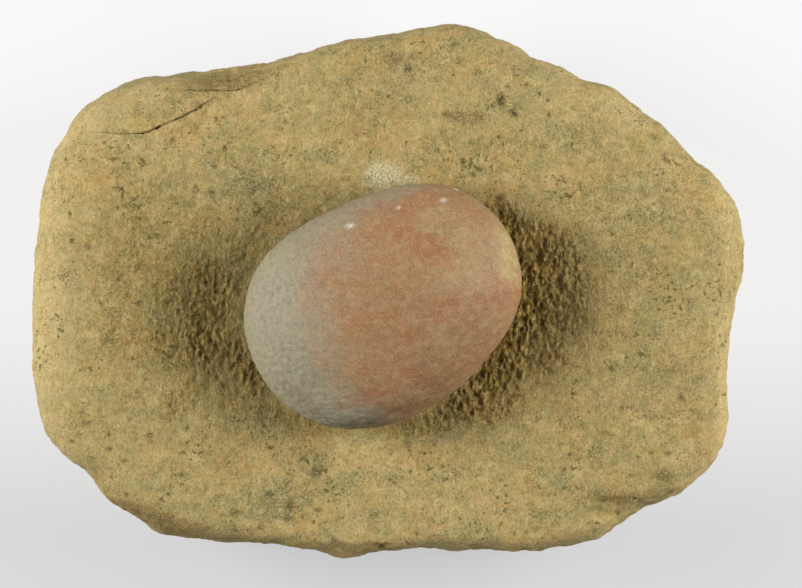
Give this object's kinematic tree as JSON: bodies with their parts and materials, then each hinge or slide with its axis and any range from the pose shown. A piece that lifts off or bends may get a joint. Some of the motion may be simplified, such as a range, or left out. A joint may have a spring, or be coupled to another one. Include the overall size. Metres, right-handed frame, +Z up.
{
  "type": "saddle quern",
  "caption": "Small saddle quern: an irregular sandstone slab with a shallow oval hollow, and the smooth oval handstone that rests loose in it.",
  "frame": {"origin": "on the resting plane, under the middle of the slab's length and width", "axes": "+X along the slab's length, +Y across its width, +Z up"},
  "size_m": [0.1756, 0.1316, 0.0664],
  "materials": {
    "sandstone": "rough, pecked and worn",
    "pebble": "smooth, matt"
  },
  "bodies": {
    "root": {"quern_slab": "sandstone", "handstone": "pebble"}
  },
  "joints": []
}
